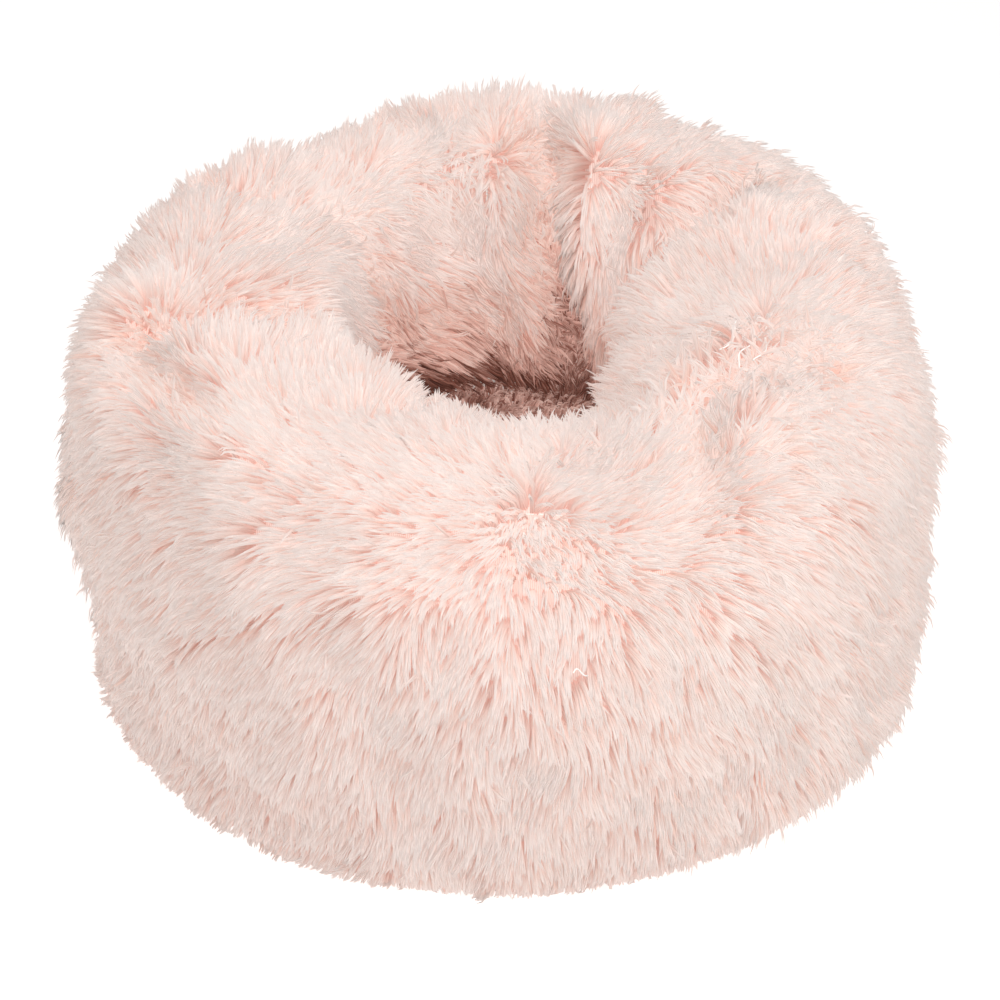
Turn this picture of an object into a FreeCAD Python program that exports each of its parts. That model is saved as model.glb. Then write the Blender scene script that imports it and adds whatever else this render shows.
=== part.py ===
import FreeCAD, Part
import math
import os

import Sketcher
from FreeCAD import Placement, Rotation, Vector

# A round fur-covered pet bed: one tall ring cushion round a sleeping well that sits a little behind the
# bed's middle, a flat seat pad under the well, and a cloth base with a zip straight across it.
# Origin: centre of the base, on the floor. +Z up, -Y is the low front of the bed. Millimetres.

DIMENSIONS = [
    # Outside of the bed, over the pile
    ("outer_radius", 300.0),
    ("overall_height", 290.0),
    ("bulge_height", 105.0),
    ("lower_wall_radius", 220.0),
    ("upper_wall_radius", 360.0),
    ("crest_radius", 214.0),
    # Sleeping well, over the pile
    ("well_radius", 116.0),
    ("well_offset", 30.0),
    ("well_flare", 60.0),
    ("seat_height", 100.0),
    # Layers
    ("pile_depth", 21.0),
    ("layer_gap", 0.6),
    ("liner_thickness", 1.0),
    ("base_cloth_radius", 268.0),
    ("base_cloth_thickness", 1.0),
    ("seat_pile_depth", 20.0),
    # Seams
    ("crown_seam_radius", 197.0),
    ("crown_seam_offset", 13.0),
    ("thread_radius", 0.6),
    ("seam_depth", 19.0),
    # Zip, straight across the underside
    ("zip_length", 380.0),
    ("tape_length", 408.0),
    ("tape_width", 15.0),
    ("tape_edge", 2.9),
    ("tape_thickness", 0.7),
    ("zip_slot_width", 12.0),
    ("zip_lip_height", 6.0),
    ("cord_width", 1.2),
    ("teeth_root", 1.6),
    ("teeth_thickness", 2.2),
    ("teeth_gap", 1.3),
    ("teeth_pitch", 4.0),
    ("tooth_length", 1.6),
    ("teeth_count", 95),
    ("stop_length", 3.0),
    ("stop_extra", 0.3),
    ("join_gap", 0.4),
    ("zip_room_width", 40.0),
    ("zip_room_height", 10.0),
    # Slider and its pull
    ("slider_rest", 180.0),
    ("slider_length", 12.0),
    ("slider_width", 8.8),
    ("slider_plate", 0.9),
    ("slider_clearance", 0.35),
    ("post_width", 0.6),
    ("post_length", 4.0),
    ("bridge_eye", 1.9),
    ("bridge_width", 2.0),
    ("bridge_length", 5.0),
    ("pull_length", 20.0),
    ("pull_width", 7.0),
    ("pull_thickness", 1.0),
    ("pull_eye", 4.2),
    ("pull_eye_width", 3.4),
    ("pull_bar_radius", 0.6),
    # Care label
    ("label_width", 30.0),
    ("label_length", 32.0),
    ("label_thickness", 0.3),
    ("label_tuck", 3.0),
    ("label_lift", 0.15),
]

doc = FreeCAD.newDocument("pet_cushion_bed")
sheet = doc.addObject("Spreadsheet::Sheet", "dims")
for row, (alias, value) in enumerate(DIMENSIONS, start=1):
    sheet.set(f"A{row}", alias)
    sheet.set(f"B{row}", str(value))
    sheet.setAlias(f"B{row}", alias)
doc.recompute()

UPRIGHT = Rotation(Vector(1, 0, 0), 90)
# How far a cutting tool reaches past the face it cuts
BELOW = 6.0
sub_parts = []


def size(alias):
    return float(sheet.get(alias))


def make(kind, name, **expressions):
    """A document object whose properties follow the sheet; a double underscore stands for a dot."""
    item = doc.addObject(kind, name)
    for prop, expression in expressions.items():
        item.setExpression(prop.replace("__", "."), str(expression))
    return item


def cut(name, base, tool):
    item = doc.addObject("Part::Cut", name)
    item.Base = base
    item.Tool = tool
    return item


def common(name, base, tool):
    item = doc.addObject("Part::Common", name)
    item.Base = base
    item.Tool = tool
    return item


def fuse(name, shapes):
    item = doc.addObject("Part::MultiFuse", name)
    item.Shapes = shapes
    return item


def box(name, length, width, height, x, y, z):
    return make(
        "Part::Box",
        name,
        Length=length,
        Width=width,
        Height=height,
        Placement__Base__x=x,
        Placement__Base__y=y,
        Placement__Base__z=z,
    )


def cylinder(name, radius, height, y, z):
    return make(
        "Part::Cylinder", name, Radius=radius, Height=height, Placement__Base__y=y, Placement__Base__z=z
    )


def sub_part(node, item):
    item.Label = node
    sub_parts.append(item)
    return item


def hold(sketch, kind, *args, name=None, expression=None):
    """Adds one constraint, and binds it to the sheet if it has an expression."""
    index = sketch.addConstraint(Sketcher.Constraint(kind, *args))
    if expression is not None:
        sketch.renameConstraint(index, name)
        sketch.setExpression("Constraints." + name, expression)


def revolve(name, sketch, offset):
    """One full turn of an upright sketch about its own vertical axis, which stands at y = offset."""
    item = make("Part::Revolution", name, Base__y=offset)
    item.Source = sketch
    item.Axis = Vector(0, 0, 1)
    item.Angle = 360
    item.Solid = True
    return item


def bun(name, inset, bottom):
    """The bed's outside with no well: a bulging wall on a flat base, and a plump rounded crest.

    inset moves the wall and the crest inwards, and bottom is the height where it starts: both are
    expressions on the sheet.
    """
    sketch = doc.addObject("Sketcher::SketchObject", name + "_sketch")
    sketch.Placement = Placement(Vector(0, 0, 0), UPRIGHT)
    # Starting geometry, close to the solved shape
    side = size("outer_radius")
    top = size("overall_height")
    middle = size("bulge_height")
    low = size("lower_wall_radius")
    high = size("upper_wall_radius")
    crest = size("crest_radius")
    run = crest - side + high
    rise = top - middle
    small = (run**2 + rise**2 - high**2) / (2 * (rise - high))
    reach = math.hypot(run, rise - small)
    join = Vector(crest + run / reach * small, top - small + (rise - small) / reach * small, 0)
    foot = side - low + math.sqrt(low**2 - middle**2)
    wall_at = f"dims.outer_radius - ({inset})"
    crest_at = f"dims.overall_height - ({inset})"
    corner = Vector(foot, 0, 0)
    waist = Vector(side, middle, 0)
    brim = Vector(crest, top, 0)

    def arc(radius, centre, start, end):
        first = math.atan2(start.y - centre.y, start.x - centre.x)
        last = math.atan2(end.y - centre.y, end.x - centre.x)
        circle = Part.Circle(centre, Vector(0, 0, 1), radius)
        return Part.ArcOfCircle(circle, first, last)

    floor_line = sketch.addGeometry(Part.LineSegment(Vector(0, 0, 0), corner))
    low_arc = sketch.addGeometry(arc(low, Vector(side - low, middle, 0), corner, waist))
    high_arc = sketch.addGeometry(arc(high, Vector(side - high, middle, 0), waist, join))
    crest_arc = sketch.addGeometry(arc(small, Vector(crest, top - small, 0), join, brim))
    top_line = sketch.addGeometry(Part.LineSegment(brim, Vector(0, top, 0)))
    axis_line = sketch.addGeometry(Part.LineSegment(Vector(0, top, 0), Vector(0, 0, 0)))
    loop = [floor_line, low_arc, high_arc, crest_arc, top_line, axis_line]
    for here, following in zip(loop, loop[1:] + loop[:1]):
        kind = "Tangent" if here == high_arc else "Coincident"
        hold(sketch, kind, here, 2, following, 1)
    hold(sketch, "Horizontal", floor_line)
    hold(sketch, "Horizontal", top_line)
    hold(sketch, "PointOnObject", floor_line, 1, -2)
    hold(sketch, "PointOnObject", top_line, 2, -2)
    hold(sketch, "DistanceY", -1, 1, floor_line, 1, 0.0, name="bottom", expression=bottom)
    hold(sketch, "DistanceX", -1, 1, high_arc, 1, side, name="side", expression=wall_at)
    hold(sketch, "DistanceY", -1, 1, high_arc, 1, middle, name="middle", expression="dims.bulge_height")
    hold(sketch, "Horizontal", low_arc, 3, low_arc, 2)
    hold(sketch, "Horizontal", high_arc, 3, high_arc, 1)
    hold(sketch, "Radius", low_arc, low, name="low", expression=f"dims.lower_wall_radius - ({inset})")
    hold(sketch, "Radius", high_arc, high, name="high", expression=f"dims.upper_wall_radius - ({inset})")
    hold(sketch, "Vertical", crest_arc, 3, crest_arc, 2)
    hold(sketch, "DistanceX", -1, 1, crest_arc, 2, crest, name="crest", expression="dims.crest_radius")
    hold(sketch, "DistanceY", -1, 1, crest_arc, 2, top, name="top", expression=crest_at)
    return revolve(name, sketch, "0")


def well(name, grow, bottom):
    """The sleeping well as a solid: a straight shaft that flares out over the crest.

    grow widens it, and lowers the flare, by the layers behind the pile. bottom is the height of its floor.
    Both are expressions on the sheet.
    """
    sketch = doc.addObject("Sketcher::SketchObject", name + "_sketch")
    sketch.Placement = Placement(Vector(0, 0, 0), UPRIGHT)
    sketch.setExpression("Placement.Base.y", "dims.well_offset")
    radius = size("well_radius")
    flare = size("well_flare")
    top = size("overall_height")
    foot = size("seat_height")
    over = top + BELOW
    wall_at = f"dims.well_radius + ({grow})"
    lip_at = f"dims.overall_height - ({grow})"
    top_at = f"dims.overall_height + {BELOW}"
    lip = Vector(radius + flare, top, 0)
    knee = Vector(radius, top - flare, 0)
    circle = Part.Circle(Vector(radius + flare, top - flare, 0), Vector(0, 0, 1), flare)
    floor_line = sketch.addGeometry(Part.LineSegment(Vector(0, foot, 0), Vector(radius, foot, 0)))
    wall_line = sketch.addGeometry(Part.LineSegment(Vector(radius, foot, 0), knee))
    flare_arc = sketch.addGeometry(Part.ArcOfCircle(circle, math.pi / 2, math.pi))
    lip_line = sketch.addGeometry(Part.LineSegment(lip, Vector(lip.x, over, 0)))
    top_line = sketch.addGeometry(Part.LineSegment(Vector(lip.x, over, 0), Vector(0, over, 0)))
    axis_line = sketch.addGeometry(Part.LineSegment(Vector(0, over, 0), Vector(0, foot, 0)))
    hold(sketch, "Coincident", floor_line, 2, wall_line, 1)
    hold(sketch, "Coincident", wall_line, 2, flare_arc, 2)
    hold(sketch, "Coincident", flare_arc, 1, lip_line, 1)
    hold(sketch, "Coincident", lip_line, 2, top_line, 1)
    hold(sketch, "Coincident", top_line, 2, axis_line, 1)
    hold(sketch, "Coincident", axis_line, 2, floor_line, 1)
    hold(sketch, "Horizontal", floor_line)
    hold(sketch, "Horizontal", top_line)
    hold(sketch, "Vertical", wall_line)
    hold(sketch, "Vertical", lip_line)
    hold(sketch, "PointOnObject", floor_line, 1, -2)
    hold(sketch, "PointOnObject", top_line, 2, -2)
    hold(sketch, "Horizontal", flare_arc, 3, flare_arc, 2)
    hold(sketch, "Vertical", flare_arc, 3, flare_arc, 1)
    hold(sketch, "Radius", flare_arc, flare, name="flare", expression=f"dims.well_flare - ({grow})")
    hold(sketch, "DistanceX", -1, 1, wall_line, 1, radius, name="side", expression=wall_at)
    hold(sketch, "DistanceY", -1, 1, flare_arc, 1, top, name="lip", expression=lip_at)
    hold(sketch, "DistanceY", -1, 1, floor_line, 1, foot, name="bottom", expression=bottom)
    hold(sketch, "DistanceY", -1, 1, top_line, 1, over, name="over", expression=top_at)
    return revolve(name, sketch, "dims.well_offset")


# Heights and depths of the layers, from the outside in
UNDER = f"-{BELOW}"
HEM = "dims.base_cloth_thickness + dims.layer_gap"
LINER_IN = "dims.layer_gap + dims.liner_thickness"
FILL_OUT = LINER_IN + " + dims.layer_gap"
LINER_FLOOR = HEM + " + dims.liner_thickness"
FILL_BOTTOM = LINER_FLOOR + " + dims.layer_gap"
SEAT_BACKING = "dims.seat_height - dims.seat_pile_depth"


def fur_pieces():
    """The three plush panels: outside, inside of the well, and floor of the well."""
    outside = bun("outside", "0", HEM)
    backing = bun("backing", "dims.pile_depth", UNDER)
    shaft = well("shaft", "0", SEAT_BACKING)
    crown = cylinder(
        "crown",
        "dims.crown_seam_radius",
        "dims.overall_height",
        "dims.crown_seam_offset",
        SEAT_BACKING,
    )
    crown_core = cylinder(
        "crown_core",
        "dims.crown_seam_radius - dims.layer_gap",
        f"dims.overall_height - ({SEAT_BACKING})",
        "dims.crown_seam_offset",
        SEAT_BACKING,
    )
    skin = cut("outside_skin", outside, backing)
    sub_part("outer_fur_wall", cut("outer_fur", skin, crown))
    ring_core = cut("ring_core", backing, well("shaft_backing", "dims.pile_depth", SEAT_BACKING))
    lining = cut("inner_blank", crown_core, ring_core)
    sub_part("inner_fur_wall", cut("inner_fur", lining, shaft))
    seat = cylinder(
        "seat_fur",
        "dims.well_radius - dims.layer_gap",
        "dims.seat_pile_depth",
        "dims.well_offset",
        SEAT_BACKING,
    )
    sub_part("seat_fur_panel", seat)


def zip_room(name, wall):
    """The dent that the zip presses into the cushions above it, with a wall of that thickness round it."""
    return box(
        name,
        "2 * dims.outer_radius",
        f"dims.zip_room_width + 2 * ({wall})",
        f"dims.zip_room_height + {BELOW} + {wall}",
        "-dims.outer_radius",
        f"-dims.zip_room_width / 2 - ({wall})",
        UNDER,
    )


def cased_cushion(name, liner_node, fill_node, blank):
    """A thin casing and the fibre in it. blank(name, depth, bottom) is the cushion's form at a depth."""
    outside = blank(name + "_blank", "dims.layer_gap", HEM)
    case_out = cut(name + "_out", outside, zip_room(name + "_room", "0"))
    hollow = blank(name + "_hollow_blank", LINER_IN, LINER_FLOOR)
    case_in = cut(name + "_in", hollow, zip_room(name + "_hollow_room", "dims.liner_thickness"))
    sub_part(liner_node, cut(name + "_case", case_out, case_in))
    fibre = blank(name + "_fibre_blank", FILL_OUT, FILL_BOTTOM)
    fibre_room = zip_room(name + "_fibre_room", "dims.liner_thickness + dims.layer_gap")
    sub_part(fill_node, cut(name + "_fibre", fibre, fibre_room))


def ring_blank(name, depth, bottom):
    inset = f"dims.pile_depth + {depth}"
    return cut(name, bun(name + "_bun", inset, bottom), well(name + "_well", inset, UNDER))


def pad_blank(name, depth, bottom):
    return cylinder(
        name,
        f"dims.well_radius + dims.pile_depth - ({depth})",
        f"{SEAT_BACKING} - ({depth}) - ({bottom})",
        "dims.well_offset",
        bottom,
    )


def ring_thread(node, radius, y, z):
    """The sewing thread of a round seam."""
    thread = make(
        "Part::Torus",
        node,
        Radius1=radius,
        Radius2="dims.thread_radius",
        Placement__Base__y=y,
        Placement__Base__z=z,
    )
    sub_part(node, thread)


def base_cloth(node, facing):
    """Half of the base cloth: a flat half disc whose straight edge turns up in a lip beside the zip."""
    disc = cylinder(node + "_disc", "dims.base_cloth_radius", "dims.base_cloth_thickness", "0", "0")
    low_edge = "-dims.outer_radius" if facing < 0 else "dims.join_gap / 2"
    half = box(
        node + "_half",
        "2 * dims.outer_radius",
        "dims.outer_radius - dims.join_gap / 2",
        "2 * dims.base_cloth_thickness",
        "-dims.outer_radius",
        low_edge,
        "-dims.base_cloth_thickness / 2",
    )
    slot = box(
        node + "_slot",
        "dims.tape_length",
        "dims.zip_slot_width",
        "4 * dims.base_cloth_thickness",
        "-dims.tape_length / 2",
        "-dims.zip_slot_width / 2",
        "-2 * dims.base_cloth_thickness",
    )
    lip_edge = "dims.zip_slot_width / 2"
    if facing < 0:
        lip_edge = "-dims.zip_slot_width / 2 - dims.base_cloth_thickness"
    lip = box(
        node + "_lip",
        "dims.tape_length",
        "dims.base_cloth_thickness",
        "dims.zip_lip_height",
        "-dims.tape_length / 2",
        lip_edge,
        "0",
    )
    flat = cut(node + "_flat", common(node + "_cut", disc, half), slot)
    sub_part(node, fuse(node, [flat, lip]))


def zip_tape(node, facing):
    """One woven tape, lying on its lip of the base cloth."""
    edge = "dims.tape_edge" if facing > 0 else "-dims.tape_edge - dims.tape_width"
    tape = box(
        node,
        "dims.tape_length",
        "dims.tape_width",
        "dims.tape_thickness",
        "-dims.tape_length / 2",
        edge,
        "dims.zip_lip_height",
    )
    sub_part(node, tape)


def rectangle(sketch, left, low, length, height):
    """A rectangle whose corner and sides follow the four expressions."""
    corners = [Vector(0, 0, 0), Vector(1, 0, 0), Vector(1, 1, 0), Vector(0, 1, 0)]
    lines = [
        sketch.addGeometry(Part.LineSegment(here, following))
        for here, following in zip(corners, corners[1:] + corners[:1])
    ]
    for here, following in zip(lines, lines[1:] + lines[:1]):
        hold(sketch, "Coincident", here, 2, following, 1)
    for line, kind in zip(lines, ["Horizontal", "Vertical", "Horizontal", "Vertical"]):
        hold(sketch, kind, line)
    names = sketch.Name + "_"
    hold(sketch, "DistanceX", -1, 1, lines[0], 1, 0.0, name=names + "left", expression=left)
    hold(sketch, "DistanceY", -1, 1, lines[0], 1, 0.0, name=names + "low", expression=low)
    hold(sketch, "DistanceX", lines[0], 1, lines[0], 2, 1.0, name=names + "length", expression=length)
    hold(sketch, "DistanceY", lines[1], 1, lines[1], 2, 1.0, name=names + "height", expression=height)


def ground_plane(body):
    return next(item for item in body.Origin.OriginFeatures if item.Role == "XY_Plane")


def plate_pad(body, name, left, low, length, width, bottom, height):
    """A block on the body's ground plane, from bottom up by height."""
    sketch = body.newObject("Sketcher::SketchObject", name + "_sketch")
    sketch.AttachmentSupport = [(ground_plane(body), "")]
    sketch.MapMode = "FlatFace"
    sketch.setExpression("AttachmentOffset.Base.z", bottom)
    rectangle(sketch, left, low, length, width)
    pad = body.newObject("PartDesign::Pad", name)
    pad.Profile = sketch
    pad.setExpression("Length", height)
    return pad


CHAIN_MIDDLE = "(dims.zip_lip_height + dims.tape_thickness / 2)"
CHAIN_LOW = f"({CHAIN_MIDDLE} - dims.teeth_thickness / 2)"
CHAIN_HIGH = f"({CHAIN_MIDDLE} + dims.teeth_thickness / 2)"


def zip_teeth(node, facing):
    """One row of moulded teeth on its cord. The two rows are half a pitch out of step."""
    body = doc.addObject("PartDesign::Body", node)
    cord_edge = "dims.teeth_root" if facing > 0 else "-dims.teeth_root - dims.cord_width"
    plate_pad(
        body,
        node + "_cord",
        "-dims.zip_length / 2",
        cord_edge,
        "dims.zip_length",
        "dims.cord_width",
        f"{CHAIN_MIDDLE} - dims.tape_thickness",
        "2 * dims.tape_thickness",
    )
    tip_edge = "dims.teeth_gap / 2" if facing > 0 else "-dims.teeth_root"
    step = "0.5" if facing > 0 else "0"
    tooth = plate_pad(
        body,
        node + "_tooth",
        f"-dims.zip_length / 2 + {step} * dims.teeth_pitch",
        tip_edge,
        "dims.tooth_length",
        "dims.teeth_root - dims.teeth_gap / 2",
        CHAIN_LOW,
        "dims.teeth_thickness",
    )
    row = body.newObject("PartDesign::LinearPattern", node + "_row")
    row.Originals = [tooth]
    row.Direction = (tooth.Profile[0], ["H_Axis"])
    row.setExpression("Length", "(dims.teeth_count - 1) * dims.teeth_pitch")
    row.setExpression("Occurrences", "dims.teeth_count")
    body.Tip = row
    sub_part(node, body)


def zip_stops():
    """Two stops at the closed end, one on each cord, and the bottom stop that bridges both cords."""
    stops = [
        box(
            f"top_stop_{side}",
            "dims.stop_length",
            "dims.cord_width + dims.teeth_root - dims.teeth_gap / 2",
            "dims.teeth_thickness + 2 * dims.stop_extra",
            "dims.zip_length / 2 + dims.join_gap",
            edge,
            f"{CHAIN_LOW} - dims.stop_extra",
        )
        for side, edge in (
            ("front", "-dims.teeth_root - dims.cord_width"),
            ("back", "dims.teeth_gap / 2"),
        )
    ]
    pair = doc.addObject("Part::Compound", "zip_top_stops")
    pair.Links = stops
    sub_part("zip_top_stops", pair)
    bottom = box(
        "zip_bottom_stop",
        "dims.stop_length",
        "2 * (dims.cord_width + dims.teeth_root)",
        "dims.teeth_thickness + 2 * dims.stop_extra",
        "-dims.zip_length / 2 - dims.join_gap - dims.stop_length",
        "-dims.teeth_root - dims.cord_width",
        f"{CHAIN_LOW} - dims.stop_extra",
    )
    sub_part("zip_bottom_stop", bottom)


PLATE_LOW = f"({CHAIN_LOW} - dims.slider_clearance - dims.slider_plate)"
PLATE_HIGH = f"({CHAIN_HIGH} + dims.slider_clearance)"
HINGE_Z = f"({PLATE_LOW} - dims.bridge_eye / 2)"


def zip_slider():
    """Two plates with flanges, a thin post that joins them, and a bridge under the lower plate."""
    x_mid = "dims.slider_rest"
    x_low = f"{x_mid} - dims.slider_length / 2"
    far = "-dims.slider_width / 2"
    near = "dims.slider_width / 2 - dims.slider_plate"

    def plate(name, z):
        return box(name, "dims.slider_length", "dims.slider_width", "dims.slider_plate", x_low, far, z)

    def flange(name, y, z, height):
        return box(name, "dims.slider_length", "dims.slider_plate", height, x_low, y, z)

    low_height = f"dims.zip_lip_height - dims.slider_clearance - {PLATE_LOW}"
    high_bottom = "dims.zip_lip_height + dims.tape_thickness + dims.slider_clearance"
    high_height = f"{PLATE_HIGH} + dims.slider_plate - ({high_bottom})"
    post = box(
        "slider_post",
        "dims.post_length",
        "dims.post_width",
        f"{PLATE_HIGH} - {PLATE_LOW} + dims.slider_plate",
        x_mid,
        "-dims.post_width / 2",
        PLATE_LOW,
    )
    arch = box(
        "slider_arch",
        "dims.bridge_length",
        "dims.bridge_width",
        "dims.bridge_eye + dims.slider_plate",
        f"{x_mid} - dims.bridge_length / 2",
        "-dims.bridge_width / 2",
        f"{PLATE_LOW} - dims.bridge_eye - dims.slider_plate",
    )
    eye = box(
        "slider_eye",
        "dims.bridge_length - 2 * dims.slider_plate",
        "2 * dims.bridge_width",
        "dims.bridge_eye",
        f"{x_mid} - dims.bridge_length / 2 + dims.slider_plate",
        "-dims.bridge_width",
        f"{PLATE_LOW} - dims.bridge_eye",
    )
    bridge = cut("slider_bridge", arch, eye)
    pieces = [
        plate("slider_low_plate", PLATE_LOW),
        plate("slider_high_plate", PLATE_HIGH),
        flange("slider_low_flange_front", far, PLATE_LOW, low_height),
        flange("slider_low_flange_back", near, PLATE_LOW, low_height),
        flange("slider_high_flange_front", far, high_bottom, high_height),
        flange("slider_high_flange_back", near, high_bottom, high_height),
        post,
        bridge,
    ]
    sub_part("zip_slider", fuse("zip_slider", pieces))


def zip_pull():
    """A flat tab with two arms, whose round end bar turns in the slider's bridge."""
    plate = box(
        "pull_plate",
        "dims.pull_length",
        "dims.pull_width",
        "dims.pull_thickness",
        "dims.slider_rest - dims.pull_length",
        "-dims.pull_width / 2",
        f"{HINGE_Z} - dims.pull_thickness / 2",
    )
    eye = box(
        "pull_eye",
        "2 * dims.pull_eye",
        "dims.pull_eye_width",
        "2 * dims.pull_thickness",
        "dims.slider_rest - dims.pull_eye",
        "-dims.pull_eye_width / 2",
        f"{HINGE_Z} - dims.pull_thickness",
    )
    bar = make(
        "Part::Cylinder",
        "pull_bar",
        Radius="dims.pull_bar_radius",
        Height="dims.pull_width",
        Placement__Base__x="dims.slider_rest",
        Placement__Base__y="dims.pull_width / 2",
        Placement__Base__z=HINGE_Z,
    )
    bar.Placement.Rotation = UPRIGHT
    sub_part("zip_pull", fuse("zip_pull", [cut("pull_arms", plate, eye), bar]))


def care_label():
    label = box(
        "care_label",
        "dims.label_width",
        "dims.label_length",
        "dims.label_thickness",
        "-dims.label_width / 2",
        "dims.base_cloth_radius - dims.label_tuck",
        "dims.base_cloth_thickness + dims.label_lift",
    )
    sub_part("care_label", label)


fur_pieces()
cased_cushion("ring", "bolster_liner", "bolster_fill", ring_blank)
cased_cushion("pad", "seat_pad_liner", "seat_pad_fill", pad_blank)
ring_thread(
    "crown_seam_thread",
    "dims.crown_seam_radius - dims.layer_gap / 2",
    "dims.crown_seam_offset",
    "dims.overall_height - dims.seam_depth",
)
ring_thread(
    "seat_seam_thread",
    "dims.well_radius - dims.layer_gap / 2",
    "dims.well_offset",
    f"{SEAT_BACKING} + dims.thread_radius * 2",
)
ring_thread(
    "base_seam_thread",
    "dims.base_cloth_radius - 2 * dims.thread_radius",
    "0",
    "dims.base_cloth_thickness + dims.layer_gap / 2",
)
FRONT = -1
BACK = 1
for side, facing in (("front", FRONT), ("back", BACK)):
    base_cloth("base_cloth_" + side, facing)
    zip_tape("zip_tape_" + side, facing)
    zip_teeth("zip_teeth_" + side, facing)
zip_stops()
zip_slider()
zip_pull()
care_label()
doc.recompute()

for item in doc.Objects:
    if {"Invalid", "Error"} & set(item.State):
        raise RuntimeError(f"{item.Name} failed: {item.State}")
os.makedirs("parts", exist_ok=True)
for item in sub_parts:
    shape = item.Shape
    if shape.isNull() or not shape.isValid() or not shape.Solids:
        raise RuntimeError(f"{item.Label} has no valid solid")
    shape.exportStep(f"parts/{item.Label}.step")
    volume = sum(solid.Volume for solid in shape.Solids)
    print(f"{item.Label}: {len(shape.Solids)} solids, {volume:.0f} mm3, z from {shape.BoundBox.ZMin:.2f}")
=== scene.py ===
import math

import bpy
import numpy as np
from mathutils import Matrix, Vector


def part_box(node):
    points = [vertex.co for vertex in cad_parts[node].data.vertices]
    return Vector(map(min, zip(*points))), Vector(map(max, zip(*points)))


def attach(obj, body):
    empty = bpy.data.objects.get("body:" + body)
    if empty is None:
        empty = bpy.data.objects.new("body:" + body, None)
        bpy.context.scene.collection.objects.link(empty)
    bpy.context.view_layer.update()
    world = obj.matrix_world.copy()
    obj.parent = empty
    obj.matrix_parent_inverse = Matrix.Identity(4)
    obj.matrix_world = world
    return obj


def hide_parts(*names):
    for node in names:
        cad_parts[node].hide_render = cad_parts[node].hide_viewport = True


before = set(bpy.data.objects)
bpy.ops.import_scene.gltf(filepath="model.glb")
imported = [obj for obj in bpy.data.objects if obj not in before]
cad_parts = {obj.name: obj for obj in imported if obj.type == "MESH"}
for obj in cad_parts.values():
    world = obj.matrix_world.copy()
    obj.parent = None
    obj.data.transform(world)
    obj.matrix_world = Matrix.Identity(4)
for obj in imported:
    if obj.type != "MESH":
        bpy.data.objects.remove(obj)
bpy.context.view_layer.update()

# A round nest bed in long-pile fur fabric. Metres; +Z up, -Y is the low front of the rim. Angles are in
# degrees from +X, turning towards +Y: 0 right, 90 back, 180 left, 270 front.
#
# The ring's outside, over the tips of the fur, is the "coat" surface: a cross-section with ten stations
# (0 base seam, 2 widest, 5 crest, 9 seat seam) whose places change round the bed. Everything else follows
# from it: the knitted backing lies one pile depth inside it, and the fur stands on the backing.

MM = 0.001

wall_low, wall_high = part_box("outer_fur_wall")
seat_low, seat_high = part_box("seat_fur_panel")
cloth_low, cloth_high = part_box("base_cloth_front")
pad_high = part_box("seat_pad_liner")[1]

BED_RADIUS = (wall_high.x - wall_low.x) / 2
BASE_RADIUS = (cloth_high.x - cloth_low.x) / 2
WELL_RADIUS = (seat_high.x - seat_low.x) / 2
WELL_CENTRE = np.array([(seat_high.x + seat_low.x) / 2, (seat_high.y + seat_low.y) / 2])
SEAT_TOP = seat_high.z
PILE = seat_high.z - seat_low.z
PAD_RADIUS = pad_high.x

STATIONS = 10
CREST = 5.0
ROUND_STEPS = 720
ACROSS_STEPS = 240


# ---- shape


def around(angle, table, spread=22.0):
    """A smooth value round the bed, from (degrees, value) pairs, each felt over about spread degrees."""
    angle = np.asarray(angle, float)
    total = np.zeros_like(angle)
    weight = np.zeros_like(angle)
    sharp = 1 / math.radians(spread) ** 2
    for degrees, value in table:
        w = np.exp(sharp * (np.cos(angle - math.radians(degrees)) - 1))
        total += w * value
        weight += w
    return total / weight


def ripple(points, wavelength, seed, waves=16):
    """Smooth seeded noise of about -1 to 1 in space, with bumps about one wavelength apart."""
    rng = np.random.default_rng(seed)
    way = rng.normal(size=(waves, 3))
    way /= np.linalg.norm(way, axis=1, keepdims=True)
    pitch = rng.uniform(0.7, 1.5, waves) * 2 * math.pi / wavelength
    phase = rng.uniform(0, 2 * math.pi, waves)
    return np.sin(points @ (way * pitch[:, None]).T + phase).sum(axis=1) / math.sqrt(waves)


def unit(vectors):
    """Vectors scaled to length 1."""
    return vectors / np.maximum(np.linalg.norm(vectors, axis=-1, keepdims=True), 1e-12)


# How the rim changes round the bed: (degrees, metres)
CREST_HEIGHT = [
    (0, 0.284),
    (20, 0.280),
    (55, 0.293),
    (75, 0.290),
    (95, 0.286),
    (118, 0.272),
    (140, 0.280),
    (160, 0.284),
    (184, 0.283),
    (208, 0.268),
    (240, 0.256),
    (270, 0.250),
    (300, 0.254),
    (325, 0.272),
    (345, 0.282),
]
CREST_RADIUS = [
    (0, 0.202),
    (60, 0.214),
    (90, 0.216),
    (130, 0.216),
    (160, 0.220),
    (185, 0.220),
    (225, 0.198),
    (275, 0.190),
    (320, 0.198),
]
# The rim's inner edge, from the well's centre
EDGE_RADIUS = [
    (0, 0.074),
    (14, 0.080),
    (27, 0.106),
    (40, 0.114),
    (60, 0.113),
    (90, 0.120),
    (110, 0.120),
    (135, 0.110),
    (155, 0.104),
    (180, 0.106),
    (205, 0.096),
    (228, 0.078),
    (250, 0.076),
    (272, 0.088),
    (293, 0.098),
    (309, 0.090),
    (324, 0.078),
    (338, 0.070),
    (350, 0.072),
]
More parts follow.
